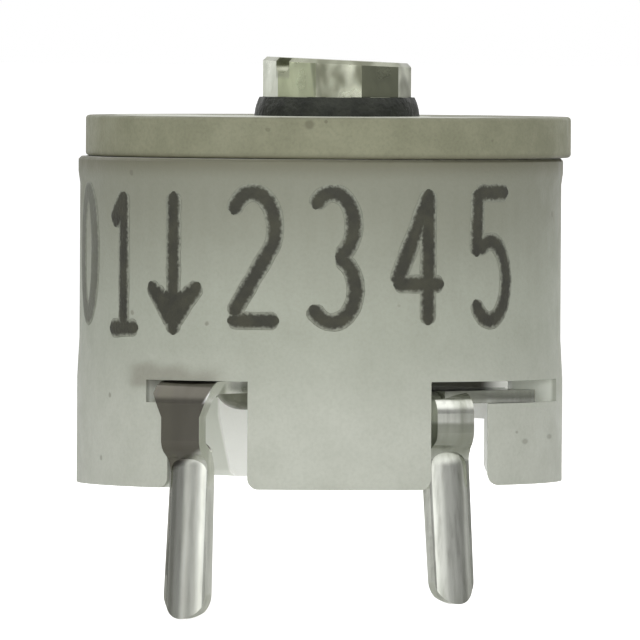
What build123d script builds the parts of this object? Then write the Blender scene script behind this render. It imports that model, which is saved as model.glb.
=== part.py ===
from build123d import *
from math import cos, radians, sin
import os

# Ceramic disc trimmer capacitor. Millimetres and degrees.
# The origin is the base's axis at the level of its feet, where it seats on a
# board. +Z points up to the adjuster, -Y to the side with the two leads.
# Angles round the base are counted from the front, growing towards +X.

# ceramic base: a waist between a rim and a skirt that stand proud of it
waist_d = 9.72
skirt_proud = 0.045
skirt_h = 2.12
skirt_slope_h = 0.8
skirt_wall = 1.0
rim_proud = 0.035
rim_h = 0.3
rim_slope_h = 0.25
base_h = 6.58
base_edge = 0.06
recess_h = 2.15
foot_corner_r = 0.22
sill_h = 1.7

back_notch_h = 1.25
right_foot_rise = 0.07

# notches between the feet: start angle, end angle and height
notches = {
    "front_left": (-38.2, -17.0, recess_h),
    "front_right": (27.0, 39.0, recess_h),
    "back_right": (139.0, 163.0, back_notch_h),
    "back_left": (211.5, 223.5, recess_h),
}
# slots above them, from the sill up: start angle and end angle
slots = {
    "front_left": (-45.0, -17.0),
    "front_right": (27.0, 76.0),
    "back_left": (211.5, 248.0),
}
# straight passage that joins the two right notches: where its sides meet the skirt
passage_angles = (27.5, 43.3)
# the back left notch widens towards the feet
mouth_flare = 0.3
mouth_flare_h = 1.25
cut_overlap = 0.05

# spindle with its faceted, slotted head
rotor_offset = 0.32
head_sides = 10
head_d = 3.0
head_h = 0.75
head_slope = 2.5
head_edge = 0.08
head_turn = 1.3
driver_slot_w = 0.36
driver_slot_depth = 0.27
driver_slot_angle = -49.5
flange_d = 2.9
flange_t = 0.38
shaft_d = 2.0
tenon_d = 1.5
rivet_head_d = 2.5
rivet_head_h = 0.32
rivet_rounding_ratio = 0.6
bore_clearance = 0.04

# ceramic rotor disc
disc_proud = 0.04
disc_t = 0.82
disc_edge = 0.07
disc_shift = 0.17
disc_gap = 0.01
fixed_clearance = 0.01

# silver layers
silver_t = 0.03
silver_margin = 0.525
silver_hub_gap = 0.9

# solder round the flange
solder_top_t = 0.12
solder_foot_t = 0.22
solder_sag = 0.02

# sheet metal terminals
sheet_t = 0.25
bend_r = 0.2
jog_r = 0.35
lead_pitch = 5.08
rib_w = 0.84
rib_rise = 0.13
rib_top = 0.85
trim_spare = 1.0

# stator terminal, on the left
stator_angle = -32.5
stator_drop_gap = 0.015
stator_top_w = 1.32
stator_neck_w = 0.9
stator_neck_h = 1.42
stator_jog_top_h = 0.8
stator_jog_foot_h = 0.5
stator_lead_w = 0.88
stator_tip_w = 0.98
stator_splay = 3.5
stator_tip = -2.6
stator_pad_d = 1.7

# rotor terminal, on the right
rotor_angle = 33.5
rotor_drop_set = 0.1
rotor_top_w = 0.88
rotor_neck_w = 0.88
rotor_neck_h = 1.0
rotor_jog_top_h = 0.98
rotor_jog_foot_h = 0.74
rotor_lead_w = 0.98
rotor_tip_w = 0.93
rotor_splay = 5.5
rotor_tip = -2.28
rotor_plate_w = 3.4
rotor_plate_angle = 47.5
rotor_ear_w = 2.7
rotor_ear_set = 0.28

# stator contact pin
pin_d = 0.8
pin_orbit = 2.7
pin_clearance = 0.02
pin_end = 0.15
pin_joint_d = 1.3
pin_joint_h = 0.35
pin_joint_waist_ratio = 0.72
pin_joint_drop_ratio = 0.7

# spring and thrust washers
spring_d = 3.9
spring_t = 0.1
washer_d = 2.9
washer_t = 0.2
loose_clearance = 0.08
seat_clearance = 0.01

# worked out from the above
skirt_d = waist_d + 2 * skirt_proud
rim_d = waist_d + 2 * rim_proud
recess_d = skirt_d - 2 * skirt_wall
disc_d = waist_d + 2 * disc_proud
silver_r = waist_d / 2 - silver_margin
silver_hub_r = shaft_d / 2 + silver_hub_gap
stator_drop_r = skirt_d / 2 + stator_drop_gap + sheet_t / 2
rotor_drop_r = skirt_d / 2 - rotor_drop_set
rotor_ear_r = skirt_d / 2 - rotor_ear_set
solder_top_r = flange_d / 2 + solder_top_t
solder_foot_r = flange_d / 2 + solder_foot_t
terminal_h = sill_h + seat_clearance
washer_h = terminal_h - seat_clearance - washer_t
stator_h = recess_h - seat_clearance - sheet_t
disc_h = base_h + disc_gap
flange_h = disc_h + disc_t
head_base_h = flange_h + flange_t
disc_x = rotor_offset - disc_shift
rib_r = (rib_w**2 / 4 + rib_rise**2) / (2 * rib_rise)
passage_near, passage_far = (skirt_d / 2 * sin(radians(angle)) for angle in passage_angles)
reach = skirt_d


def heading(angle):
    """Direction in the ground plane at this angle from the front."""
    return Vector(sin(radians(angle)), -cos(radians(angle)), 0)


def across(angle):
    """Direction to the right of heading, seen from outside."""
    return Vector(cos(radians(angle)), sin(radians(angle)), 0)


def side_plane(angle):
    """Upright plane through the axis: local x runs outwards, local y up."""
    return Plane(origin=(0, 0, 0), x_dir=heading(angle), z_dir=-across(angle))


def front_plane(angle):
    """Upright plane across the heading: local x runs right, local y up."""
    return Plane(origin=(0, 0, 0), x_dir=across(angle), z_dir=heading(angle))


def sector(start, end):
    """Flat wedge from the axis past the skirt."""
    middle = (start + end) / 2
    with BuildSketch() as wedge:
        with BuildLine():
            Line((0, 0), heading(start) * reach)
            ThreePointArc(heading(start) * reach, heading(middle) * reach, heading(end) * reach)
            Line(heading(end) * reach, (0, 0))
        make_face()
    return wedge.sketch


def lead_radius(angle):
    """Distance of a lead from the axis that gives it its share of the pitch."""
    return lead_pitch / 2 / abs(sin(radians(angle)))


def leg_plane(angle, splay, height):
    """Outer face of a leg: local x runs right, local y up along the leg."""
    outer = lead_radius(angle) + sheet_t / 2
    origin = heading(angle) * (outer - height * sin(radians(splay))) + Vector(0, 0, height)
    normal = heading(angle) * cos(radians(splay)) + Vector(0, 0, sin(radians(splay)))
    return Plane(origin=origin, x_dir=across(angle), z_dir=normal)


def rib(angle, splay, radius, floor_depth):
    """Half-round bead pressed along a leg, with a domed upper end."""
    face = leg_plane(angle, splay, rib_top - rib_w / 2)
    depth = rib_r - rib_rise
    with BuildPart(face) as bead:
        with Locations((0, -reach / 2, -depth)):
            Cylinder(radius, reach, rotation=(90, 0, 0))
        with Locations((0, 0, -depth)):
            Sphere(radius)
        split(bisect_by=face.offset(-floor_depth), keep=Keep.TOP)
    return bead.part


def leg(angle, splay, tip, level, inner, drop, jog_top_h, jog_foot_h, top_w, neck_w, neck_h, lead_w, tip_w):
    """Strip that leaves the base on one level, drops, jogs in and becomes a lead."""
    top = level + sheet_t
    outer = drop + sheet_t / 2
    foot = lead_radius(angle) + sheet_t / 2
    lean = sin(radians(splay))
    jog_foot = (foot - jog_foot_h * lean, jog_foot_h)
    end_h = tip - trim_spare
    with BuildPart() as strip:
        with BuildSketch(side_plane(angle)):
            with BuildLine():
                FilletPolyline(
                    (inner, top),
                    (outer, top),
                    (outer, jog_top_h),
                    jog_foot,
                    (foot - end_h * lean, end_h),
                    radius=(bend_r + sheet_t, jog_r, jog_r),
                )
                offset(amount=sheet_t, side=Side.RIGHT)
            make_face()
        extrude(amount=reach, both=True)
        add(rib(angle, splay, rib_r, sheet_t / 2))
        add(rib(angle, splay, rib_r - sheet_t, reach), mode=Mode.SUBTRACT)
        with BuildSketch(front_plane(angle)):
            with BuildLine():
                Polyline(
                    (-tip_w / 2, tip + tip_w / 2),
                    (-lead_w / 2, jog_foot_h),
                    (-neck_w / 2, jog_top_h),
                    (-neck_w / 2, neck_h),
                    (-top_w / 2, level),
                    (-top_w / 2, top),
                    (top_w / 2, top),
                    (top_w / 2, level),
                    (neck_w / 2, neck_h),
                    (neck_w / 2, jog_top_h),
                    (lead_w / 2, jog_foot_h),
                    (tip_w / 2, tip + tip_w / 2),
                )
                ThreePointArc(
                    (tip_w / 2, tip + tip_w / 2),
                    (0, tip),
                    (-tip_w / 2, tip + tip_w / 2),
                )
            make_face()
        extrude(amount=reach, mode=Mode.INTERSECT)
    return strip.part


# base: turned form, then the bores, the silver's pocket and the windows
with BuildPart() as stator_base:
    with BuildSketch(Plane.XZ):
        with BuildLine():
            Polyline(
                (recess_d / 2, 0),
                (skirt_d / 2, 0),
                (skirt_d / 2, skirt_h),
                (waist_d / 2, skirt_h + skirt_slope_h),
                (waist_d / 2, base_h - rim_h - rim_slope_h),
                (rim_d / 2, base_h - rim_h),
                (rim_d / 2, base_h - base_edge),
                (rim_d / 2 - base_edge, base_h),
                (0, base_h),
                (0, recess_h),
                (recess_d / 2, recess_h),
                close=True,
            )
        make_face()
    revolve(axis=Axis.Z)
    with BuildSketch(Plane.XY.offset(recess_h)):
        with Locations((rotor_offset, 0)):
            Circle(shaft_d / 2 + bore_clearance)
        with Locations(heading(stator_angle) * pin_orbit):
            Circle(pin_d / 2 + pin_clearance)
    extrude(amount=base_h, mode=Mode.SUBTRACT)
    with BuildSketch(Plane.XY.offset(base_h - silver_t)):
        Circle(silver_r)
        split(bisect_by=side_plane(stator_angle + 90), keep=Keep.TOP)
        with Locations((rotor_offset, 0)):
            Circle(silver_hub_r, mode=Mode.SUBTRACT)
    extrude(amount=silver_t, mode=Mode.SUBTRACT)
    for start, end, height in notches.values():
        with BuildSketch():
            add(sector(start, end))
        extrude(amount=height, mode=Mode.SUBTRACT)
    for start, end in slots.values():
        with BuildSketch(Plane.XY.offset(sill_h)):
            add(sector(start, end))
        extrude(amount=recess_h - sill_h, mode=Mode.SUBTRACT)
    for side, height in ((-1, sill_h), (1, back_notch_h)):
        with BuildSketch():
            with Locations(((passage_near + passage_far) / 2, side * reach / 2)):
                Rectangle(passage_far - passage_near, reach)
        extrude(amount=height, mode=Mode.SUBTRACT)
    with BuildSketch():
        add(sector(notches["front_right"][1], notches["back_right"][0]))
    extrude(amount=right_foot_rise, mode=Mode.SUBTRACT)
    with BuildSketch(front_plane(notches["back_left"][0])):
        with BuildLine():
            Polyline((cut_overlap, 0), (-mouth_flare, 0), (0, mouth_flare_h), close=True)
        make_face()
    extrude(amount=reach, mode=Mode.SUBTRACT)
    low_edges = stator_base.edges().filter_by_position(Axis.Z, -cut_overlap, right_foot_rise + cut_overlap)
    fillet(low_edges.filter_by(GeomType.LINE), radius=foot_corner_r)
stator_base.part.label = "stator_base"

# silver half-rings: one let into the base, one let into the disc
with BuildPart() as stator_electrode:
    with BuildSketch(Plane.XY.offset(base_h - silver_t)):
        Circle(silver_r)
        split(bisect_by=side_plane(stator_angle + 90), keep=Keep.TOP)
        with Locations((rotor_offset, 0)):
            Circle(silver_hub_r, mode=Mode.SUBTRACT)
    extrude(amount=silver_t)
stator_electrode.part.label = "stator_electrode"

with BuildPart() as rotor_electrode:
    with BuildSketch(Plane.XY.offset(flange_h - silver_t)):
        with Locations((disc_x, 0)):
            Circle(silver_r)
        split(bisect_by=side_plane(stator_angle + 90), keep=Keep.TOP)
        with Locations((rotor_offset, 0)):
            Circle(silver_hub_r)
            Circle(shaft_d / 2 + fixed_clearance, mode=Mode.SUBTRACT)
    extrude(amount=silver_t)
rotor_electrode.part.label = "rotor_electrode"

# rotor disc, a little off the spindle's axis
with BuildPart() as rotor_disc:
    with BuildSketch(Plane.XY.offset(disc_h)):
        with Locations((disc_x, 0)):
            Circle(disc_d / 2)
        with Locations((rotor_offset, 0)):
            Circle(shaft_d / 2 + fixed_clearance, mode=Mode.SUBTRACT)
    extrude(amount=disc_t)
    rims = rotor_disc.edges().filter_by(GeomType.CIRCLE)
    fillet(rims.filter_by(lambda rim: rim.radius > silver_r), radius=disc_edge)
    with BuildSketch(Plane.XY.offset(flange_h - silver_t)):
        with Locations((disc_x, 0)):
            Circle(silver_r)
        split(bisect_by=side_plane(stator_angle + 90), keep=Keep.TOP)
        with Locations((rotor_offset, 0)):
            Circle(silver_hub_r)
    extrude(amount=silver_t, mode=Mode.SUBTRACT)
rotor_disc.part.label = "rotor_disc"

# spindle: faceted head, flange, shaft, and the end riveted over the washer
spindle_axis = Plane.XY.shift_origin((rotor_offset, 0, 0))
with BuildPart() as spindle:
    with BuildSketch(spindle_axis.offset(head_base_h)):
        RegularPolygon(head_d / 2, head_sides, rotation=head_turn)
    extrude(amount=head_h + head_d * sin(radians(head_slope)))
    top_cut = Plane(
        origin=(rotor_offset, 0, head_base_h + head_h),
        z_dir=(sin(radians(head_slope)), 0, cos(radians(head_slope))),
    )
    split(bisect_by=top_cut, keep=Keep.BOTTOM)
    chamfer(spindle.faces().sort_by(Axis.Z)[-1].edges(), length=head_edge)
    slot_end = Plane(top_cut.origin, across(driver_slot_angle), heading(driver_slot_angle))
    with BuildSketch(slot_end):
        with Locations((0, driver_slot_w / 2 - driver_slot_depth)):
            Circle(driver_slot_w / 2)
            Rectangle(driver_slot_w, head_h, align=(Align.CENTER, Align.MIN))
    extrude(amount=head_d, both=True, mode=Mode.SUBTRACT)
    with BuildSketch(spindle_axis.offset(flange_h)):
        Circle(flange_d / 2)
    extrude(amount=flange_t)
    with BuildSketch(spindle_axis.offset(terminal_h - seat_clearance)):
        Circle(shaft_d / 2)
    extrude(amount=flange_h - terminal_h + seat_clearance)
    with BuildSketch(spindle_axis.offset(washer_h)):
        Circle(tenon_d / 2)
    extrude(amount=washer_t)
    with BuildSketch(spindle_axis.offset(washer_h - rivet_head_h)):
        Circle(rivet_head_d / 2)
    extrude(amount=rivet_head_h)
    fillet(spindle.edges().group_by(Axis.Z)[0], radius=rivet_head_h * rivet_rounding_ratio)
spindle.part.label = "spindle"

# solder drawn up round the flange, with a hollow meniscus
with BuildPart() as solder_collar:
    with BuildSketch(Plane.XZ.shift_origin((rotor_offset, 0, 0))):
        with BuildLine():
            Polyline(
                (solder_foot_r, flange_h),
                (flange_d / 2 + fixed_clearance, flange_h),
                (flange_d / 2 + fixed_clearance, head_base_h),
                (solder_top_r, head_base_h),
            )
            SagittaArc((solder_top_r, head_base_h), (solder_foot_r, flange_h), solder_sag)
        make_face()
    revolve(axis=Axis((rotor_offset, 0, 0), (0, 0, 1)))
solder_collar.part.label = "solder_collar"

# washer under the rotor terminal, held by the riveted end
with BuildPart() as thrust_washer:
    with BuildSketch(spindle_axis.offset(washer_h)):
        Circle(washer_d / 2)
        Circle(tenon_d / 2 + fixed_clearance, mode=Mode.SUBTRACT)
    extrude(amount=washer_t)
thrust_washer.part.label = "thrust_washer"

# bowed spring washer between the recess's ceiling and the rotor terminal
spring_low = terminal_h + sheet_t + seat_clearance
spring_rise = recess_h - seat_clearance - spring_t - spring_low
with BuildPart() as spring_washer:
    with BuildSketch(side_plane(rotor_plate_angle)):
        with BuildLine():
            ThreePointArc(
                (-spring_d / 2, spring_low),
                (0, spring_low + spring_rise),
                (spring_d / 2, spring_low),
            )
            ThreePointArc(
                (-spring_d / 2, spring_low + spring_t),
                (0, spring_low + spring_rise + spring_t),
                (spring_d / 2, spring_low + spring_t),
            )
            Line((-spring_d / 2, spring_low), (-spring_d / 2, spring_low + spring_t))
            Line((spring_d / 2, spring_low), (spring_d / 2, spring_low + spring_t))
        make_face()
    extrude(amount=spring_d, both=True)
    with BuildSketch():
        Circle(spring_d / 2)
        Circle(shaft_d / 2 + loose_clearance, mode=Mode.SUBTRACT)
    extrude(amount=base_h, mode=Mode.INTERSECT)
    spring_washer.part = spring_washer.part.moved(Location((rotor_offset, 0, 0)))
spring_washer.part.label = "spring_washer"

# rotor terminal: plate round the shaft, keyed in two windows, and its lead
rotor_leg = leg(
    rotor_angle, rotor_splay, rotor_tip, terminal_h, washer_d / 2, rotor_drop_r, rotor_jog_top_h, rotor_jog_foot_h,
    rotor_top_w, rotor_neck_w, rotor_neck_h, rotor_lead_w, rotor_tip_w,
)
with BuildPart() as rotor_terminal:
    add(rotor_leg)
    with BuildSketch(Plane.XY.offset(terminal_h)):
        Circle(recess_d / 2 - loose_clearance)
        with Locations((rotor_offset, 0)):
            Rectangle(reach, rotor_plate_w, rotation=rotor_plate_angle - 90, mode=Mode.INTERSECT)
        with Locations(heading(rotor_plate_angle) * rotor_ear_r / 2):
            Rectangle(rotor_ear_r, rotor_ear_w, rotation=rotor_plate_angle - 90)
        with Locations((rotor_offset, 0)):
            Circle(shaft_d / 2 + loose_clearance, mode=Mode.SUBTRACT)
    extrude(amount=sheet_t)
rotor_terminal.part.label = "rotor_terminal"

# stator terminal: strip under the ceiling with a pad at the contact pin
stator_leg = leg(
    stator_angle, stator_splay, stator_tip, stator_h, pin_orbit, stator_drop_r, stator_jog_top_h, stator_jog_foot_h,
    stator_top_w, stator_neck_w, stator_neck_h, stator_lead_w, stator_tip_w,
)
with BuildPart() as stator_terminal:
    add(stator_leg)
    with BuildSketch(Plane.XY.offset(stator_h)):
        with Locations(heading(stator_angle) * pin_orbit):
            Circle(stator_pad_d / 2)
    extrude(amount=sheet_t)
    with BuildSketch(Plane.XY.offset(stator_h)):
        with Locations(heading(stator_angle) * pin_orbit):
            Circle(pin_d / 2 + pin_clearance)
    extrude(amount=sheet_t, mode=Mode.SUBTRACT)
stator_terminal.part.label = "stator_terminal"

# pin that joins the stator's silver to its terminal
with BuildPart() as contact_pin:
    with BuildSketch(Plane.XY.offset(stator_h - pin_end)):
        with Locations(heading(stator_angle) * pin_orbit):
            Circle(pin_d / 2)
    extrude(amount=base_h - silver_t - stator_h + pin_end)
contact_pin.part.label = "contact_pin"

# solder drop that holds the pin's lower end to the terminal
with BuildPart() as pin_solder:
    with BuildSketch(side_plane(stator_angle).shift_origin(heading(stator_angle) * pin_orbit)):
        with BuildLine():
            Polyline(
                (pin_joint_d / 2, stator_h),
                (pin_d / 2 + fixed_clearance, stator_h),
                (pin_d / 2 + fixed_clearance, stator_h - pin_end),
                (0, stator_h - pin_end),
                (0, stator_h - pin_joint_h),
            )
            ThreePointArc(
                (0, stator_h - pin_joint_h),
                (pin_joint_d / 2 * pin_joint_waist_ratio, stator_h - pin_joint_h * pin_joint_drop_ratio),
                (pin_joint_d / 2, stator_h),
            )
        make_face()
    revolve(axis=Axis(heading(stator_angle) * pin_orbit, (0, 0, 1)))
pin_solder.part.label = "pin_solder"

os.makedirs("parts", exist_ok=True)
export_step(stator_base.part, "parts/stator_base.step")
export_step(stator_electrode.part, "parts/stator_electrode.step")
export_step(stator_terminal.part, "parts/stator_terminal.step")
export_step(contact_pin.part, "parts/contact_pin.step")
export_step(pin_solder.part, "parts/pin_solder.step")
export_step(rotor_terminal.part, "parts/rotor_terminal.step")
export_step(spring_washer.part, "parts/spring_washer.step")
export_step(rotor_disc.part, "parts/rotor_disc.step")
export_step(rotor_electrode.part, "parts/rotor_electrode.step")
export_step(spindle.part, "parts/spindle.step")
export_step(solder_collar.part, "parts/solder_collar.step")
export_step(thrust_washer.part, "parts/thrust_washer.step")
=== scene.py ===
import bpy
import bmesh
import math
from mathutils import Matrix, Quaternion, Vector


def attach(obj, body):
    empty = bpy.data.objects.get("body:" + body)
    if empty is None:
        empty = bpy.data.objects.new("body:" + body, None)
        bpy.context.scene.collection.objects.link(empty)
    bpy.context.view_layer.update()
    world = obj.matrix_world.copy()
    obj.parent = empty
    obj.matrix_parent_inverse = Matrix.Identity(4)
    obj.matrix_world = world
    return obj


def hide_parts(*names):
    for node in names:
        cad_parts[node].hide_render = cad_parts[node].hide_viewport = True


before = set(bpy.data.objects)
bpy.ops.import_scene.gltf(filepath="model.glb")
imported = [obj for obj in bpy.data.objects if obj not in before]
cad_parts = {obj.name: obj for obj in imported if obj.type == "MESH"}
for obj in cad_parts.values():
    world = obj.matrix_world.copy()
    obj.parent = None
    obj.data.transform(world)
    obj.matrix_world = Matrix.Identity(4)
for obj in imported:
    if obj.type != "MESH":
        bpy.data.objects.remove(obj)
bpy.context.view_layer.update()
scene = bpy.context.scene
mm = 0.001  # sizes in this script are in millimetres
noiseSpan = (0.3, 0.7)  # the values that nearly all of a noise lies between
print("frame loaded:", len(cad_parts), "nodes")


def tone(red, green, blue):
    # screen values from 0 to 255, as the linear colour that a socket wants
    linear = []
    for value in (red, green, blue):
        part = value / 255
        linear.append(part / 12.92 if part <= 0.04045 else ((part + 0.055) / 1.055) ** 2.4)
    return (*linear, 1.0)


def put(tree, kind, values=None, **props):
    # a new node with its properties and inputs set, or linked where a value is a socket
    node = tree.nodes.new(kind)
    for name, value in props.items():
        setattr(node, name, value)
    for key, value in (values or {}).items():
        if isinstance(value, bpy.types.NodeSocket):
            tree.links.new(value, node.inputs[key])
        else:
            node.inputs[key].default_value = value
    return node


def calc(tree, operation, first, second=0.0, clamp=False):
    return put(tree, "ShaderNodeMath", {0: first, 1: second}, operation=operation, use_clamp=clamp).outputs[0]


def times(tree, first, *others):
    for other in others:
        first = calc(tree, "MULTIPLY", first, other)
    return first


def remap(tree, value, low, high, toLow=0.0, toHigh=1.0):
    # soft step from toLow to toHigh while value goes from low to high
    values = {0: value, 1: low, 2: high, 3: toLow, 4: toHigh}
    return put(tree, "ShaderNodeMapRange", values, interpolation_type="SMOOTHSTEP").outputs[0]


def mixTone(tree, factor, first, second):
    return put(tree, "ShaderNodeMix", {0: factor, 6: first, 7: second}, data_type="RGBA").outputs[2]


def reach(tree, vector, direction):
    # how far a vector reaches along a direction
    product = put(tree, "ShaderNodeVectorMath", {0: vector, 1: direction}, operation="DOT_PRODUCT")
    return product.outputs["Value"]


def lengthOf(tree, x, y):
    flat = put(tree, "ShaderNodeCombineXYZ", {0: x, 1: y}).outputs[0]
    return put(tree, "ShaderNodeVectorMath", {0: flat}, operation="LENGTH").outputs["Value"]


def grain(tree, where, scale, detail=3.0, roughness=0.55, seed=0.0, stretch=None):
    # noise on millimetre coordinates, scale in bumps per millimetre
    shifted = put(tree, "ShaderNodeMapping", {"Vector": where, "Location": (seed, seed * 1.7, -seed)})
    if stretch:
        shifted.inputs["Scale"].default_value = stretch
    values = {"Vector": shifted.outputs[0], "Scale": scale, "Detail": detail, "Roughness": roughness}
    return put(tree, "ShaderNodeTexNoise", values).outputs["Fac"]


def spots(tree, where, scale, size, seed=0.0):
    # 1 inside small ragged spots, 0 outside
    shifted = put(tree, "ShaderNodeMapping", {"Vector": where, "Location": (seed, -seed, seed * 0.6)})
    cells = put(tree, "ShaderNodeTexVoronoi", {"Vector": shifted.outputs[0], "Scale": scale})
    ragged = calc(tree, "MULTIPLY", grain(tree, where, scale * 4, seed=seed), size * 1.6)
    return remap(tree, calc(tree, "SUBTRACT", cells.outputs["Distance"], ragged), size * 0.15, -size * 0.35)


def chip(tree, xyz, place):
    # 1 inside a small spot on the front, given as x, z and radius
    sideways = calc(tree, "SUBTRACT", xyz[0], place[0])
    rise = calc(tree, "SUBTRACT", xyz[2], place[1])
    spot = remap(tree, lengthOf(tree, sideways, rise), place[2], place[2] * 0.4)
    return times(tree, spot, remap(tree, xyz[1], 0.0, -0.3))


def startMaterial(name):
    # a new material, and the place on the piece in millimetres, whole and as its parts
    material = bpy.data.materials.new(name)
    material.use_nodes = True
    tree = material.node_tree
    coords = put(tree, "ShaderNodeTexCoord")
    scaled = put(tree, "ShaderNodeVectorMath", {0: coords.outputs["Object"], 3: 1 / mm}, operation="SCALE")
    parts = put(tree, "ShaderNodeSeparateXYZ", {0: scaled.outputs[0]})
    return material, tree, tree.nodes["Principled BSDF"], scaled.outputs[0], parts.outputs


def finishMaterial(tree, shader, colour, roughness, height, depth):
    tree.links.new(colour, shader.inputs["Base Color"])
    tree.links.new(roughness, shader.inputs["Roughness"])
    bump = put(tree, "ShaderNodeBump", {"Strength": 1.0, "Distance": depth * mm, "Height": height})
    tree.links.new(bump.outputs[0], shader.inputs["Normal"])


def finishCeramic(tree, shader, look, colour, xyz, cloud, fine):
    # small chips, then the faint unevenness that both ceramics have
    for place in look["chips"]:
        colour = mixTone(tree, times(tree, chip(tree, xyz, place), look["chipShare"]), colour, look["chip"])
    rough = remap(tree, cloud, *noiseSpan, look["roughLow"], look["roughHigh"])
    relief = calc(tree, "ADD", times(tree, fine, look["fineRelief"]), cloud)
    finishMaterial(tree, shader, colour, rough, relief, look["relief"])
    shader.inputs["Specular IOR Level"].default_value = look["gloss"]


# base: pale glaze with painted shade that darkens it towards the disc, darker in a band just under the disc,
# paler where it is cut and painted near white on its inner faces
baseLook = {
    "edge": 0.045,
    "low": tone(184, 187, 176),
    "middle": tone(162, 166, 153),
    "high": tone(131, 133, 119),
    "joint": tone(108, 107, 90),
    "speck": tone(96, 92, 78),
    "cut": tone(234, 237, 228),
    "inside": tone(250, 251, 247),
    "chip": tone(96, 92, 78),
    # the heights and radii over which one tone passes into the next
    "middleRise": (0.9, 3.4),
    "highRise": (3.2, 6.1),
    "jointRise": (6.1, 6.58),
    "riseWander": 1.2,
    "cutRadius": (4.86, 4.78),
    "insideRadius": (4.02, 3.93),
    # noise patterns, and how much of their tone each lays on
    "tide": {"scale": 0.35, "seed": 3.0},
    "cloud": {"scale": 1.3, "detail": 5.0, "roughness": 0.6, "seed": 11.0},
    "fine": {"scale": 14.0, "detail": 2.0, "seed": 5.0},
    "specks": {"scale": 1.1, "size": 0.08, "seed": 7.3},
    "cloudSpan": (0.35, 0.75),
    "cloudShare": 0.14,
    "fineSpan": (0.3, 0.8),
    "fineShare": 0.1,
    "speckShare": 0.45,
    "cutShare": 0.8,
    # painted shade in the hollow behind the right slot
    "recess": {
        "tone": tone(58, 58, 49), "radius": (4.3, 3.9), "height": (1.8, 1.9), "left": (-1.2, 0.4),
        "right": (3.7, 3.25),
    },
    # darker above the left terminal's slot
    "aboveSlotDarkening": {
        "tone": tone(112, 108, 94), "under": (2.45, 2.15), "side": (-1.75, -2.3), "over": (1.9, 2.1),
        "front": (-2.9, -3.3), "share": 0.5,
    },
    "chips": [(4.12, 0.93, 0.08), (4.62, 1.0, 0.07), (3.95, 1.12, 0.04)],
    "chipShare": 0.38,
    "roughLow": 0.42,
    "roughHigh": 0.62,
    "relief": 0.022,
    "fineRelief": 0.35,
    "gloss": 0.4,
}


def makeBaseCeramic(look):
    material, tree, shader, where, xyz = startMaterial("baseCeramic")
    wander = times(tree, grain(tree, where, **look["tide"]), look["riseWander"])
    height = calc(tree, "ADD", xyz[2], calc(tree, "SUBTRACT", wander, look["riseWander"] / 2))
    # painted shade: the glaze darkens with height towards the disc, where less light falls
    colour = mixTone(tree, remap(tree, height, *look["middleRise"]), look["low"], look["middle"])
    colour = mixTone(tree, remap(tree, height, *look["highRise"]), colour, look["high"])
    colour = mixTone(tree, remap(tree, xyz[2], *look["jointRise"]), colour, look["joint"])
    cloud = grain(tree, where, **look["cloud"])
    murk = remap(tree, cloud, *look["cloudSpan"], 0.0, look["cloudShare"])
    colour = mixTone(tree, murk, colour, look["high"])
    fine = grain(tree, where, **look["fine"])
    dust = remap(tree, fine, *look["fineSpan"], 0.0, look["fineShare"])
    colour = mixTone(tree, dust, colour, look["joint"])
    dots = times(tree, spots(tree, where, **look["specks"]), look["speckShare"])
    colour = mixTone(tree, dots, colour, look["speck"])

    radius = lengthOf(tree, xyz[0], xyz[1])
    # paler where it is cut, partly a painted brightness, and painted near white on the inner faces, as light
    # that falls into the windows
    cut = remap(tree, radius, *look["cutRadius"], 0.0, look["cutShare"])
    colour = mixTone(tree, cut, colour, look["cut"])
    colour = mixTone(tree, remap(tree, radius, *look["insideRadius"]), colour, look["inside"])
    # painted shade: the hollow behind the right slot darkened where no light reaches
    recess = look["recess"]
    hollowShade = times(tree, remap(tree, radius, *recess["radius"]), remap(tree, xyz[2], *recess["height"]),
                 remap(tree, xyz[0], *recess["left"]), remap(tree, xyz[0], *recess["right"]))
    colour = mixTone(tree, hollowShade, colour, recess["tone"])
    # darker round the top of the left terminal's slot
    aboveSlotDarkening = look["aboveSlotDarkening"]
    front = remap(tree, xyz[1], *aboveSlotDarkening["front"], 0.0, aboveSlotDarkening["share"])
    aboveSlotShare = times(tree, remap(tree, height, *aboveSlotDarkening["under"]), remap(tree, xyz[0], *aboveSlotDarkening["side"]),
                 remap(tree, xyz[2], *aboveSlotDarkening["over"]), front)
    colour = mixTone(tree, aboveSlotShare, colour, aboveSlotDarkening["tone"])
    finishCeramic(tree, shader, look, colour, xyz, cloud, fine)
    return material


# turning disc: darker and yellower than the base
discLook = {
    "face": tone(135, 136, 113),
    "worn": tone(123, 124, 102),
    "grime": tone(96, 94, 76),
    "chip": tone(96, 94, 76),
    "lowEdgeRise": (6.72, 6.59),
    "cloud": {"scale": 1.1, "detail": 5.0, "roughness": 0.62, "seed": 21.0},
    "fine": {"scale": 16.0, "detail": 2.0, "seed": 9.0},
    "specks": {"scale": 1.5, "size": 0.08, "seed": 2.1},
    "lowEdgeShare": 0.75,
    "fineSpan": (0.35, 0.8),
    "fineShare": 0.25,
    "speckShare": 0.5,
    "chips": [(-0.23, 7.27, 0.13), (0.1, 7.33, 0.05)],
    "chipShare": 0.7,
    "roughLow": 0.4,
    "roughHigh": 0.6,
    "relief": 0.022,
    "fineRelief": 0.35,
    "gloss": 0.4,
}


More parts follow.
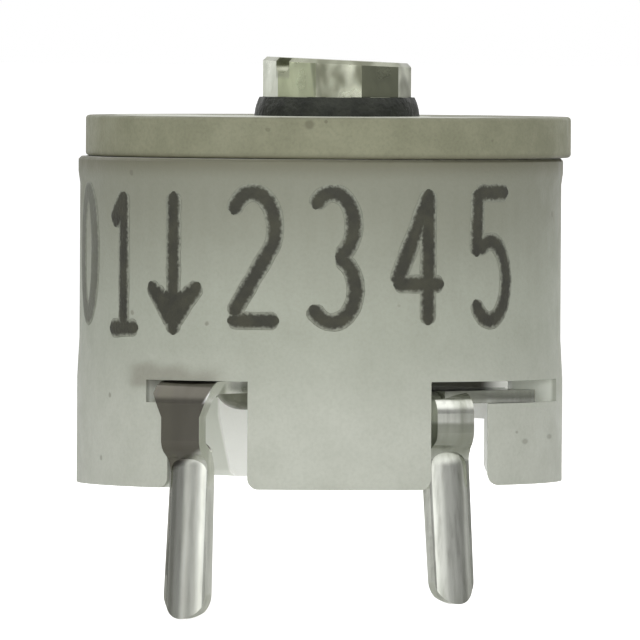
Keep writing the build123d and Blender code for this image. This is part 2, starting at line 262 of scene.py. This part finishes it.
def makeDiscCeramic(look):
    material, tree, shader, where, xyz = startMaterial("discCeramic")
    cloud = grain(tree, where, **look["cloud"])
    colour = mixTone(tree, remap(tree, cloud, *noiseSpan), look["face"], look["worn"])
    # darker towards the disc's low edge
    lowEdge = remap(tree, xyz[2], *look["lowEdgeRise"], 0.0, look["lowEdgeShare"])
    colour = mixTone(tree, lowEdge, colour, look["grime"])
    fine = grain(tree, where, **look["fine"])
    dust = remap(tree, fine, *look["fineSpan"], 0.0, look["fineShare"])
    colour = mixTone(tree, dust, colour, look["grime"])
    dots = times(tree, spots(tree, where, **look["specks"]), look["speckShare"])
    colour = mixTone(tree, dots, colour, look["grime"])
    finishCeramic(tree, shader, look, colour, xyz, cloud, fine)
    return material


def facingTone(tree, colour, given, look):
    # colours the faces that look one way
    toward = reach(tree, given["facing"], look["facing"])
    share = remap(tree, toward, look["from"], look["to"], 0.0, look.get("share", 1.0))
    return mixTone(tree, share, colour, look["tone"])


def band(tree, colour, given, look):
    # colours a stretch of height with a wandering edge, tilted where aside is given
    wander = times(tree, calc(tree, "SUBTRACT", given["cloud"], 0.5), look["wander"])
    aside = reach(tree, given["where"], look.get("aside", (0, 0, 0)))
    level = calc(tree, "ADD", calc(tree, "ADD", given["xyz"][2], wander), aside)
    share = remap(tree, level, look["from"], look["to"], 0.0, look["share"])
    if "until" in look:
        share = times(tree, share, remap(tree, level, look["until"][1], look["until"][0]))
    if "clear" in look:
        # neither the faces that look one way nor what lies deep inside
        clear = look["clear"]
        away = remap(tree, reach(tree, given["facing"], clear["facing"]), *clear["turned"])
        share = times(tree, share, away, remap(tree, given["radius"], *clear["radius"]))
    return mixTone(tree, share, colour, look["tone"])


def strip(tree, colour, given, look):
    # colours what lies between two planes, measured along a direction
    wander = times(tree, calc(tree, "SUBTRACT", given["cloud"], 0.5), look.get("wander", 0.0))
    offset = calc(tree, "SUBTRACT", reach(tree, given["where"], look["along"]), look["middle"])
    offset = calc(tree, "ABSOLUTE", calc(tree, "ADD", offset, wander))
    share = remap(tree, offset, look["half"] + look["blur"], look["half"])
    fade = 0.05  # half the height over which it starts
    share = times(tree, share, remap(tree, given["xyz"][2], look["over"] - fade, look["over"] + fade))
    if "upright" in look:
        upwards = put(tree, "ShaderNodeSeparateXYZ", {0: given["facing"]}).outputs[2]
        share = times(tree, share, remap(tree, upwards, *look["upright"]))
    return mixTone(tree, times(tree, share, look["share"]), colour, look["tone"])


def makeMetal(name, look):
    material, tree, shader, where, xyz = startMaterial(name)
    stretch = look.get("stretch")
    cloud = grain(tree, where, look["patches"], look.get("detail", 5.0), seed=look["seed"], stretch=stretch)
    colour = mixTone(tree, remap(tree, cloud, *look["patchEdge"]), look["clean"], look["dull"])
    fine = grain(tree, where, look["fineScale"], 2.0, 0.5, look["seed"] + 2, stretch)
    fineSpan = (0.35, 0.8)
    colour = mixTone(tree, remap(tree, fine, *fineSpan, 0.0, look["fineShare"]), colour, look["dark"])
    facing = put(tree, "ShaderNodeTexCoord").outputs["Normal"]
    radius = lengthOf(tree, xyz[0], xyz[1])
    given = {"where": where, "xyz": xyz, "facing": facing, "radius": radius, "cloud": cloud}
    for lay, marks in ((facingTone, "facingTones"), (band, "bands"), (strip, "strips")):
        for mark in look.get(marks, ()):
            colour = lay(tree, colour, given, mark)
    rough = remap(tree, cloud, *noiseSpan, look["roughLow"], look["roughHigh"])
    relief = calc(tree, "ADD", times(tree, fine, look["fineRelief"]), cloud)
    finishMaterial(tree, shader, colour, rough, relief, look["relief"])
    shader.inputs["Metallic"].default_value = look.get("metallic", 1.0)
    return material


def plainMesh(maker, name):
    # the maker's evaluated form as a new object, which takes its place
    depsgraph = bpy.context.evaluated_depsgraph_get()
    mesh = bpy.data.meshes.new_from_object(maker.evaluated_get(depsgraph))
    mesh.name = name
    piece = bpy.data.objects.new(name, mesh)
    scene.collection.objects.link(piece)
    bpy.data.objects.remove(maker)
    return piece


def mergedCopy(node, name):
    # a node's mesh in millimetres, with its loose triangles merged into whole faces
    mergeWithin = 0.0004
    flatWithin = math.radians(0.6)
    work = bmesh.new()
    work.from_mesh(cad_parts[node].data)
    bmesh.ops.scale(work, vec=(1 / mm, 1 / mm, 1 / mm), verts=work.verts)
    bmesh.ops.remove_doubles(work, verts=work.verts, dist=mergeWithin)
    bmesh.ops.dissolve_limit(work, angle_limit=flatWithin, verts=work.verts, edges=work.edges)
    mesh = bpy.data.meshes.new(name)
    work.to_mesh(mesh)
    work.free()
    maker = bpy.data.objects.new(name, mesh)
    scene.collection.objects.link(maker)
    return maker


def cutAcross(mesh, levels):
    # cuts at the given heights let long faces shade evenly
    onPlane = 0.0002
    work = bmesh.new()
    work.from_mesh(mesh)
    for level in levels:
        parts = work.verts[:] + work.edges[:] + work.faces[:]
        bmesh.ops.bisect_plane(work, geom=parts, dist=onPlane, plane_co=(0, 0, level), plane_no=(0, 0, 1))
    for face in work.faces:
        face.smooth = True
    work.to_mesh(mesh)
    work.free()


def softened(node, name, body, material, look):
    # a copy of the CAD form whose sharp edges are rounded
    maker = mergedCopy(node, name + "Maker")
    bevel = maker.modifiers.new("round", "BEVEL")
    bevel.width = look["edge"]
    bevel.segments = 3
    bevel.limit_method = "ANGLE"
    bevel.angle_limit = math.radians(look.get("sharpFrom", 32))
    bevel.use_clamp_overlap = True
    rounded = plainMesh(maker, name + "Rounded")
    cutAcross(rounded.data, look.get("levels", ()))
    rounded.modifiers.new("even", "WEIGHTED_NORMAL")
    cut = rounded.modifiers.new("cut", "TRIANGULATE")
    cut.keep_custom_normals = True
    piece = plainMesh(rounded, name)
    for vertex in piece.data.vertices:
        vertex.co *= mm
    piece.data.materials.clear()
    piece.data.materials.append(material)
    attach(piece, body)
    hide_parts(node)
    return piece


def evenBead(piece, bead):
    # a lead's pressed bead shades as the smooth half-round form it is, not as its facets
    turn, lean = math.radians(bead["angle"]), math.radians(bead["splay"])
    outward = Vector((math.sin(turn), -math.cos(turn), 0.0))
    normal = outward * math.cos(lean) + Vector((0, 0, math.sin(lean)))
    upward = outward * -math.sin(lean) + Vector((0, 0, math.cos(lean)))
    start = outward * bead["outer"] - normal * bead["depth"]
    mesh = piece.data
    normals = [Vector(corner.vector) for corner in mesh.corner_normals]
    for face in mesh.polygons:
        for index in face.loop_indices:
            if face.normal.dot(normals[index]) < bead["flatUnder"]:
                normals[index] = face.normal.copy()
            away = mesh.vertices[mesh.loops[index].vertex_index].co / mm - start
            radial = away - upward * min(away.dot(upward), bead["domeLevel"])
            if abs(radial.length - bead["radius"]) < bead["slack"]:
                radial.normalize()
                if radial.dot(normal) > bead["frontOver"] and face.normal.dot(radial) > bead["likeOver"]:
                    normals[index] = radial
    mesh.normals_split_custom_set(normals)


def dress(node, material):
    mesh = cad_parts[node].data
    mesh.materials.clear()
    mesh.materials.append(material)


softened("stator_base", "softBase", "base", makeBaseCeramic(baseLook), baseLook)
dress("rotor_disc", makeDiscCeramic(discLook))
print("ceramics dressed")


# spindle with its worn, plated head
headLook = {
    "edge": 0.06,
    "sharpFrom": 25,
    "clean": tone(206, 209, 190),
    "dull": tone(132, 134, 116),
    "dark": tone(96, 97, 80),
    "patches": 1.15,
    "patchEdge": (0.42, 0.62),
    "detail": 1.5,
    "stretch": (1.6, 1.0, 1.0),
    "seed": 4.0,
    "fineScale": 7.0,
    "fineShare": 0.16,
    "fineRelief": 0.08,
    "roughLow": 0.24,
    "roughHigh": 0.38,
    "relief": 0.06,
    # each facet's tone, painted as the reflection it shows by the way it faces; the top toned, darker where
    # it rounds over
    "facingTones": [
        {"facing": (0.6, -0.79, 0.0), "from": 0.86, "to": 0.97, "tone": tone(128, 131, 113)},
        {"facing": (-0.57, -0.82, 0.0), "from": 0.9, "to": 0.98, "tone": tone(212, 219, 186)},
        {"facing": (-0.944, -0.33, 0.0), "from": 0.9, "to": 0.98, "tone": tone(240, 244, 228)},
        {"facing": (0.0, 0.0, 1.0), "from": 0.25, "to": 0.65, "tone": tone(116, 118, 102), "share": 0.65},
        {"facing": (0.0, 0.0, 1.0), "from": 0.9, "to": 0.98, "tone": tone(178, 181, 162), "share": 0.7},
    ],
    # the driver slot's own tone, and a dark line down the edge left of the front facet
    "strips": [
        {"along": (0.6494, -0.7604, 0.0), "middle": 0.2078, "half": 0.17, "blur": 0.03, "share": 0.7,
         "tone": tone(176, 179, 158), "over": 8.18},
        {"along": (1.0, 0.0, 0.13), "middle": 0.96, "half": 0.035, "blur": 0.08, "share": 0.5,
         "tone": tone(96, 97, 82), "over": 7.8, "wander": 0.1, "upright": (0.6, 0.3)},
    ],
}
# dark solder round the spindle
solderLook = {
    "clean": tone(40, 43, 34),
    "dull": tone(29, 32, 25),
    "dark": tone(18, 19, 15),
    "patches": 2.6,
    "patchEdge": (0.35, 0.65),
    "seed": 31.0,
    "fineScale": 11.0,
    "fineShare": 0.5,
    "fineRelief": 0.4,
    "roughLow": 0.4,
    "roughHigh": 0.6,
    "relief": 0.05,
    "metallic": 0.3,
}
softened("spindle", "softSpindle", "rotor", makeMetal("platedHead", headLook), headLook)
dress("solder_collar", makeMetal("darkSolder", solderLook))
print("spindle and its solder dressed")


# what both tinned leads share
leadLook = {
    "edge": 0.04,
    "levels": [step * 0.1 - 2.55 for step in range(36)],
    "clean": tone(226, 228, 219),
    "patchEdge": (0.38, 0.68),
    "detail": 2.0,
    "stretch": (1.0, 1.0, 0.16),
    "fineRelief": 0.1,
    "roughLow": 0.16,
    "roughHigh": 0.27,
    "relief": 0.008,
}
leftLeadLook = dict(leadLook, **{
    "dull": tone(196, 198, 188),
    "dark": tone(150, 148, 136),
    "patches": 1.6,
    "seed": 14.0,
    "fineScale": 8.0,
    "fineShare": 0.22,
    # tarnish on the neck and above it, reaching lowest along the left edge, painted darker to stand for the
    # dark reflection it shows
    "bands": [
        {"from": 0.46, "to": 0.62, "share": 0.93, "tone": tone(92, 88, 79), "wander": 0.05,
         "aside": (-0.42, 0.268, 0.0),
         "clear": {"facing": (0.8434, -0.5373, 0.0), "turned": (0.9, 0.6), "radius": (4.25, 4.5)}},
    ],
    "strips": [
        # painted shade: a dark stripe down the lead's left edge, standing for the dark reflection of its
        # flank
        {"along": (0.8434, -0.5373, 0.0), "middle": -0.38, "half": 0.1, "blur": 0.12, "share": 0.45,
         "tone": tone(112, 110, 98), "over": -3.0, "wander": 0.08},
        # two painted highlights: a bright streak along the bend's edge and a glint on the plate in the window
        {"along": (1.0, 0.0, -0.66), "middle": -3.36, "half": 0.07, "blur": 0.06, "share": 0.95,
         "tone": tone(255, 255, 252), "over": 1.72},
        {"along": (1.0, 0.0, 0.0), "middle": -1.72, "half": 0.12, "blur": 0.08, "share": 1.0,
         "tone": tone(255, 255, 252), "over": 1.8},
    ],
})
rightLeadLook = dict(leadLook, **{
    "dull": tone(192, 195, 184),
    "dark": tone(116, 115, 102),
    "patches": 1.7,
    "seed": 19.0,
    "fineScale": 9.0,
    "fineShare": 0.34,
    # painted shade: darker under the bend, and again on the plate and the bend's top, standing for the dark
    # reflections there
    "bands": [
        {"from": 0.42, "to": 0.86, "until": (1.28, 1.37), "share": 0.72, "tone": tone(126, 130, 114),
         "wander": 0.05},
        {"from": 1.74, "to": 1.82, "share": 0.75, "tone": tone(132, 135, 122), "wander": 0.03},
    ],
    "strips": [
        # painted shade: a faint dark stripe down the lead's right side, standing for its dark reflection
        {"along": (0.8339, 0.5519, 0.0), "middle": 0.3, "half": 0.13, "blur": 0.12, "share": 0.25,
         "tone": tone(150, 152, 138), "over": -3.0, "wander": 0.14},
    ],
})
# where each lead's bead lies, and which of its corners take a smooth normal
leftBead = {
    "angle": -32.5, "splay": 3.5, "outer": 4.852, "depth": 0.613, "radius": 0.743, "domeLevel": 0.43,
    "flatUnder": 0.86, "slack": 0.015, "frontOver": 0.78, "likeOver": 0.96,
}
rightBead = dict(leftBead, angle=33.5, splay=5.5, outer=4.727)
for side, node, look, bead in (
    ("left", "stator_terminal", leftLeadLook, leftBead),
    ("right", "rotor_terminal", rightLeadLook, rightBead),
):
    tin = makeMetal(side + "TerminalTin", look)
    name = "soft" + side.capitalize() + "Terminal"
    evenBead(softened(node, name, "base", tin, look), bead)
print("terminals dressed")


# spring and thrust washers, their steel painted dark as the shade inside the base
springLook = {
    "clean": tone(96, 96, 88),
    "dull": tone(72, 71, 63),
    "dark": tone(46, 44, 38),
    "patches": 1.5,
    "patchEdge": (0.4, 0.7),
    "seed": 23.0,
    "fineScale": 9.0,
    "fineShare": 0.4,
    "fineRelief": 0.3,
    "roughLow": 0.3,
    "roughHigh": 0.5,
    "relief": 0.02,
}
# fired silver layers
silverLook = {
    "clean": tone(200, 202, 191),
    "dull": tone(176, 178, 165),
    "dark": tone(118, 116, 101),
    "patches": 1.2,
    "patchEdge": (0.4, 0.7),
    "seed": 27.0,
    "fineScale": 16.0,
    "fineShare": 0.3,
    "fineRelief": 0.5,
    "roughLow": 0.45,
    "roughHigh": 0.65,
    "relief": 0.02,
}
# contact pin and the solder drop at its foot
dropLook = {
    "clean": tone(150, 152, 138),
    "dull": tone(122, 124, 110),
    "dark": tone(90, 90, 78),
    "patches": 2.2,
    "patchEdge": (0.4, 0.7),
    "seed": 37.0,
    "fineScale": 10.0,
    "fineShare": 0.3,
    "fineRelief": 0.3,
    "roughLow": 0.25,
    "roughHigh": 0.45,
    "relief": 0.04,
}
dress("spring_washer", makeMetal("springSteel", springLook))
dress("thrust_washer", makeMetal("washerMetal", dict(springLook, seed=41.0)))
dress("stator_electrode", makeMetal("baseSilver", silverLook))
dress("rotor_electrode", makeMetal("discSilver", dict(silverLook, seed=29.0)))
dress("contact_pin", makeMetal("pinMetal", dict(dropLook, seed=43.0)))
dress("pin_solder", makeMetal("pinSolder", dropLook))
print("washers, silver and pin dressed")


# ink numbers stamped on the waist: strokes drawn flat, then wrapped round the base
inkLook = {
    "ink": tone(46, 46, 37),
    "faded": tone(63, 63, 51),
    "edge": tone(136, 139, 126),
    "waistRadius": 4.86,
    "strokeWidth": 0.37,
    "proud": 0.012,
    "foot": 3.36,
    "top": 5.92,
    "pointGap": 0.16,  # between points along a stroke, as a share of its width
    "sides": 16,
    "bluntness": 1.04,  # of a stroke's ends: 1 is a half round
    "seed": 6,
    "shakeScale": 2.6,  # wobbles of the stroke's width per millimetre
    "shake": 0.34,
    "narrowest": 0.83,
    # noise in the ink, and how it pales at the rim and round the left side
    "cloud": {"scale": 2.2, "detail": 4.0, "roughness": 0.6, "seed": 51.0},
    "fine": {"scale": 13.0, "detail": 3.0, "seed": 53.0},
    "cloudSpan": (0.35, 0.7),
    "rimBlur": 0.7,
    "rimSpan": (0.5, 1.0),
    "thinSide": (-4.2, -4.6),
    "thinShare": 0.4,
    "roughLow": 0.5,
    "roughHigh": 0.68,
    "relief": 0.02,
    # what is stamped, and its angle round the base
    "glyphs": [
        (-73.5, "0"), (-54.5, "1"), (-37.1, "arrow"), (-16.1, "2"), (3.1, "3"), (23.9, "4"), (44.6, "5"),
    ],
}


def arc(cx, cy, rx, ry, start, end, steps):
    points = []
    for step in range(steps + 1):
        turn = math.radians(start + (end - start) * step / steps)
        points.append((cx + rx * math.cos(turn), cy + ry * math.sin(turn)))
    return points


# each glyph's strokes: x in millimetres from its centre line, y from 0 at its foot to 1 at its top
strokesOf = {
    "0": [arc(0, 0.5, 0.47, 0.5, 90, 450, 28), arc(0, 0.5, 0.36, 0.465, 90, 450, 28)],
    "1": [
        [(0.04, 0.99), (0.04, -0.07)],
        [(-0.47, -0.08), (0.52, -0.07)],
        [(0.06, 0.98), (-0.38, 0.75)],
        [(0.06, 0.9), (-0.32, 0.72)],
    ],
    "arrow": [
        [(0.0, 1.0), (0.0, -0.12)],
        [(-0.63, 0.29), (0.0, -0.04)],
        [(0.63, 0.29), (0.0, -0.04)],
        [(-0.5, 0.25), (0.0, 0.04)],
        [(-0.28, 0.21), (0.0, 0.12)],
        [(0.5, 0.25), (0.0, 0.04)],
        [(0.28, 0.21), (0.0, 0.12)],
    ],
    "2": [arc(0, 0.72, 0.46, 0.28, 158, -30, 14) + [(-0.44, 0.03)], [(-0.53, 0.0), (0.55, 0.0)]],
    "3": [arc(-0.02, 0.745, 0.43, 0.255, 150, -82, 14), arc(-0.02, 0.245, 0.47, 0.255, 82, -152, 14)],
    "4": [[(0.2, -0.03), (0.2, 1.03)], [(0.22, 1.0), (-0.5, 0.28)], [(-0.55, 0.29), (0.56, 0.29)]],
    "5": [
        [(0.5, 1.0), (-0.42, 1.0)],
        [(-0.36, 1.03), (-0.4, 0.5)],
        arc(-0.03, 0.31, 0.47, 0.31, 136, -152, 15),
    ],
}
closedGlyphs = ("0",)


def makeInk(look):
    material, tree, shader, where, xyz = startMaterial("stampInk")
    rim = put(tree, "ShaderNodeAttribute", attribute_name="inkRim").outputs["Fac"]
    cloud = grain(tree, where, **look["cloud"])
    fine = grain(tree, where, **look["fine"])
    colour = mixTone(tree, remap(tree, cloud, *look["cloudSpan"]), look["ink"], look["faded"])
    blur = calc(tree, "ADD", rim, times(tree, calc(tree, "SUBTRACT", fine, 0.5), look["rimBlur"]))
    colour = mixTone(tree, remap(tree, blur, *look["rimSpan"]), colour, look["edge"])
    thin = remap(tree, xyz[0], *look["thinSide"], 0.0, look["thinShare"])
    colour = mixTone(tree, thin, colour, look["edge"])
    rough = remap(tree, cloud, *noiseSpan, look["roughLow"], look["roughHigh"])
    finishMaterial(tree, shader, colour, rough, fine, look["relief"])
    return material


def positionOf(tree):
    place = tree.nodes.new("GeometryNodeInputPosition").outputs[0]
    return place, put(tree, "ShaderNodeSeparateXYZ", {0: place}).outputs


def strokeWidth(tree, given, halfWidth, look):
    # round ends and a pen's uneven width
    along = tree.nodes.new("GeometryNodeSplineParameter").outputs["Length"]
    total = tree.nodes.new("GeometryNodeSplineLength").outputs["Length"]
    closed = tree.nodes.new("GeometryNodeInputSplineCyclic").outputs[0]
    left = calc(tree, "SUBTRACT", total, along)
    near = calc(tree, "DIVIDE", calc(tree, "MINIMUM", along, left), halfWidth, clamp=True)
    inner = calc(tree, "SUBTRACT", 1.0, near)
    rounding = calc(tree, "SUBTRACT", look["bluntness"], times(tree, inner, inner))
    rounding = calc(tree, "SQRT", rounding)
    rounding = calc(tree, "MINIMUM", calc(tree, "MAXIMUM", rounding, closed), 1.0)
    values = {"Vector": positionOf(tree)[0], "W": given["Seed"], "Scale": look["shakeScale"] / mm}
    shake = put(tree, "ShaderNodeTexNoise", values, noise_dimensions="4D").outputs[0]
    wobble = calc(tree, "ADD", times(tree, shake, look["shake"]), look["narrowest"])
    return times(tree, rounding, wobble, halfWidth)


def buildInkTree(look):
    tree = bpy.data.node_groups.new("wrapInkStrokes", "GeometryNodeTree")
    face = tree.interface
    face.new_socket("Geometry", in_out="INPUT", socket_type="NodeSocketGeometry")
    for name in ("Waist Radius", "Stroke Width", "Proud"):
        face.new_socket(name, in_out="INPUT", socket_type="NodeSocketFloat")
    face.new_socket("Seed", in_out="INPUT", socket_type="NodeSocketInt")
    face.new_socket("Ink", in_out="INPUT", socket_type="NodeSocketMaterial")
    face.new_socket("Geometry", in_out="OUTPUT", socket_type="NodeSocketGeometry")
    given = tree.nodes.new("NodeGroupInput").outputs
    halfWidth = times(tree, given["Stroke Width"], 0.5)

    # even points along each stroke
    even = put(tree, "GeometryNodeResampleCurve", {"Curve": given["Geometry"]}, mode="LENGTH")
    tree.links.new(times(tree, given["Stroke Width"], look["pointGap"]), even.inputs["Length"])
    width = strokeWidth(tree, given, halfWidth, look)
    scaled = put(tree, "GeometryNodeSetCurveRadius", {"Curve": even.outputs[0], "Radius": 1.0})
    upright = put(tree, "GeometryNodeSetCurveNormal", {"Curve": scaled.outputs[0]}, mode="Z_UP")

    # round section that stores how near its rim each point lies
    ring = put(tree, "GeometryNodeCurvePrimitiveCircle", {"Resolution": look["sides"], "Radius": 1.0})
    rim = calc(tree, "ABSOLUTE", positionOf(tree)[1][0])
    values = {"Geometry": ring.outputs["Curve"], "Name": "inkRim", "Value": rim}
    kept = put(tree, "GeometryNodeStoreNamedAttribute", values)
    values = {"Curve": upright.outputs[0], "Profile Curve": kept.outputs[0], "Scale": width}
    swept = put(tree, "GeometryNodeCurveToMesh", dict(values, **{"Fill Caps": True}))

    # press the section flat, then wrap it round the waist
    flat = positionOf(tree)[1]
    thin = times(tree, flat[2], calc(tree, "DIVIDE", given["Proud"], halfWidth))
    radius = calc(tree, "ADD", given["Waist Radius"], thin)
    angle = calc(tree, "DIVIDE", flat[0], given["Waist Radius"])
    wrapped = put(tree, "ShaderNodeCombineXYZ", {
        0: times(tree, radius, calc(tree, "SINE", angle)),
        1: times(tree, radius, calc(tree, "COSINE", angle), -1.0),
        2: flat[1],
    })
    values = {"Geometry": swept.outputs[0], "Position": wrapped.outputs[0]}
    moved = put(tree, "GeometryNodeSetPosition", values)
    smooth = put(tree, "GeometryNodeSetShadeSmooth", {"Geometry": moved.outputs[0]})
    real = put(tree, "GeometryNodeRealizeInstances", {"Geometry": smooth.outputs[0]})
    painted = put(tree, "GeometryNodeSetMaterial", {"Geometry": real.outputs[0], "Material": given["Ink"]})
    leave = tree.nodes.new("NodeGroupOutput")
    tree.links.new(painted.outputs[0], leave.inputs[0])
    return tree


def setInput(modifier, tree, name, value):
    for item in tree.interface.items_tree:
        if item.item_type == "SOCKET" and item.in_out == "INPUT" and item.name == name:
            modifier[item.identifier] = value


def drawStrokes(look):
    # a flat drawing of all glyphs, the base's round unrolled along x
    drawing = bpy.data.curves.new("inkStrokes", "CURVE")
    drawing.dimensions = "3D"
    tall = look["top"] - look["foot"]
    for angle, glyph in look["glyphs"]:
        centre = math.radians(angle) * look["waistRadius"]
        cyclic = glyph in closedGlyphs
        for stroke in strokesOf[glyph]:
            points = stroke[:-1] if cyclic else stroke
            spline = drawing.splines.new("POLY")
            spline.points.add(len(points) - 1)
            spline.use_cyclic_u = cyclic
            for point, (x, y) in zip(spline.points, points):
                point.co = ((centre + x) * mm, (look["foot"] + y * tall) * mm, 0.0, 1.0)
    return drawing


def buildInk(look):
    maker = bpy.data.objects.new("inkMaker", drawStrokes(look))
    scene.collection.objects.link(maker)
    tree = buildInkTree(look)
    modifier = maker.modifiers.new("wrap", "NODES")
    modifier.node_group = tree
    setInput(modifier, tree, "Waist Radius", look["waistRadius"] * mm)
    setInput(modifier, tree, "Stroke Width", look["strokeWidth"] * mm)
    setInput(modifier, tree, "Proud", look["proud"] * mm)
    setInput(modifier, tree, "Seed", look["seed"])
    setInput(modifier, tree, "Ink", makeInk(look))
    ink = plainMesh(maker, "stampedNumbers")
    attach(ink, "base")
    return ink


ink = buildInk(inkLook)
print("ink faces:", len(ink.data.polygons))


# pale floor, soft lamps, white surroundings
studio = {
    "floorLevel": -2.64,
    "floorSize": 2500.0,
    "floorTones": (tone(246, 246, 244), tone(250, 250, 249)),
    "floorGrain": 300.0,
    "floorRoughness": 0.8,
    "floorGlow": 0.62,
    "ambient": 0.5,
    # how bright the room looks in shiny metal: degrees from the front, growing to the right
    "room": [
        (-180, 1.0), (-140, 1.0), (-124, 0.18), (-76, 0.2), (-57, 0.78), (-38, 0.42), (-22, 0.66),
        (-8, 1.5), (5, 1.2), (12, 0.92), (24, 0.85), (42, 0.42), (60, 0.4), (74, 0.3), (98, 0.28),
        (115, 0.6), (128, 0.4), (146, 0.85), (180, 1.0),
    ],
    "overhead": 1.3,
    "overheadRise": (0.2, 0.55),
    "lamps": [
        {"name": "keyLamp", "place": (-70, -80, 16), "aim": (0, 0, 2), "size": 46, "power": 0.03},
        {"name": "fillLamp", "place": (85, -60, 45), "aim": (0, 0, 3), "size": 60, "power": 0.025},
        {"name": "lowLamp", "place": (-8, -120, 2), "aim": (0, 0, 2), "size": 34, "power": 0.05},
        {"name": "backLamp", "place": (40, 105, 35), "aim": (0, 0, 2), "size": 60, "power": 0.042},
        # a light table's glow from below, which reaches only the hollow underside
        {"name": "underLamp", "place": (0, 0, -2.5), "aim": (0, 0, 2), "size": 7.4, "power": 0.00014,
         "shape": "DISK"},
    ],
}


def buildFloor(look):
    half = look["floorSize"] * mm
    level = look["floorLevel"] * mm
    corners = [(-half, -half, level), (half, -half, level), (half, half, level), (-half, half, level)]
    mesh = bpy.data.meshes.new("floor")
    mesh.from_pydata(corners, [], [(0, 1, 2, 3)])
    floor = bpy.data.objects.new("floor", mesh)
    scene.collection.objects.link(floor)
    material = bpy.data.materials.new("paleFloor")
    material.use_nodes = True
    tree = material.node_tree
    shader = tree.nodes["Principled BSDF"]
    coords = put(tree, "ShaderNodeTexCoord").outputs["Object"]
    noise = put(tree, "ShaderNodeTexNoise", {"Vector": coords, "Scale": look["floorGrain"]}).outputs["Fac"]
    tree.links.new(mixTone(tree, noise, *look["floorTones"]), shader.inputs["Base Color"])
    shader.inputs["Roughness"].default_value = look["floorRoughness"]
    shader.inputs["Emission Color"].default_value = (1, 1, 1, 1)
    seen = put(tree, "ShaderNodeLightPath").outputs["Is Camera Ray"]
    tree.links.new(times(tree, seen, look["floorGlow"]), shader.inputs["Emission Strength"])
    mesh.materials.append(material)


def buildWorld(look):
    # white to the camera, an even glow on the object, and a room of its own in shiny metal
    world = bpy.data.worlds.new("studioWorld")
    world.use_nodes = True
    tree = world.node_tree
    tree.nodes.clear()
    coords = put(tree, "ShaderNodeTexCoord")
    direction = put(tree, "ShaderNodeSeparateXYZ", {0: coords.outputs["Generated"]}).outputs
    path = put(tree, "ShaderNodeLightPath").outputs
    turn = calc(tree, "ARCTAN2", direction[0], times(tree, direction[1], -1.0))
    share = calc(tree, "ADD", calc(tree, "DIVIDE", turn, 2 * math.pi), 0.5)
    ramp = put(tree, "ShaderNodeValToRGB", {0: share})
    ramp.color_ramp.interpolation = "EASE"
    stops = ramp.color_ramp.elements
    stops.remove(stops[1])
    for count, (angle, level) in enumerate(look["room"]):
        stop = stops.new(angle / 360 + 0.5) if count else stops[0]
        stop.color = (level, level, level, 1.0)
    above = remap(tree, direction[2], *look["overheadRise"])
    room = ramp.outputs["Color"]
    mirrored = put(tree, "ShaderNodeMix", {0: above, 2: room, 3: look["overhead"]}).outputs[0]
    seen = calc(tree, "MAXIMUM", path["Is Camera Ray"], path["Is Transmission Ray"])
    level = put(tree, "ShaderNodeMix", {0: path["Is Glossy Ray"], 2: look["ambient"], 3: mirrored}).outputs[0]
    level = put(tree, "ShaderNodeMix", {0: seen, 2: level, 3: 1.0}).outputs[0]
    background = put(tree, "ShaderNodeBackground", {"Color": (1, 1, 1, 1), "Strength": level})
    put(tree, "ShaderNodeOutputWorld", {"Surface": background.outputs[0]})
    scene.world = world


def pointAt(thing, place, aim):
    thing.location = Vector(place) * mm
    thing.rotation_mode = "QUATERNION"
    thing.rotation_quaternion = (Vector(aim) - Vector(place)).to_track_quat("-Z", "Y")


def addLamp(look):
    data = bpy.data.lights.new(look["name"], "AREA")
    data.shape = look.get("shape", "SQUARE")
    data.size = look["size"] * mm
    data.energy = look["power"]
    lamp = bpy.data.objects.new(look["name"], data)
    pointAt(lamp, look["place"], look["aim"])
    lamp.visible_glossy = False  # the room's own brightness is what the metal shows
    lamp.visible_camera = False
    scene.collection.objects.link(lamp)


buildFloor(studio)
buildWorld(studio)
for lampLook in studio["lamps"]:
    addLamp(lampLook)
print("studio ready")


# camera at the photograph's viewing angle
cameraView = {
    "place": (0.0, -302.0, 9.76),
    "aim": (0.0, 0.0, 3.283),
    "lens": 840.9,
    "sensor": 36.0,
    "lean": 0.3,
    "nearest": 0.01,
    "furthest": 10.0,
}
cameraData = bpy.data.cameras.new("camera")
cameraData.lens = cameraView["lens"]
cameraData.sensor_width = cameraView["sensor"]
cameraData.clip_start = cameraView["nearest"]
cameraData.clip_end = cameraView["furthest"]
camera = bpy.data.objects.new("camera", cameraData)
pointAt(camera, cameraView["place"], cameraView["aim"])
lean = Quaternion((0, 0, 1), math.radians(cameraView["lean"]))
camera.rotation_quaternion = camera.rotation_quaternion @ lean
scene.collection.objects.link(camera)
scene.camera = camera
scene.view_settings.view_transform = "Standard"
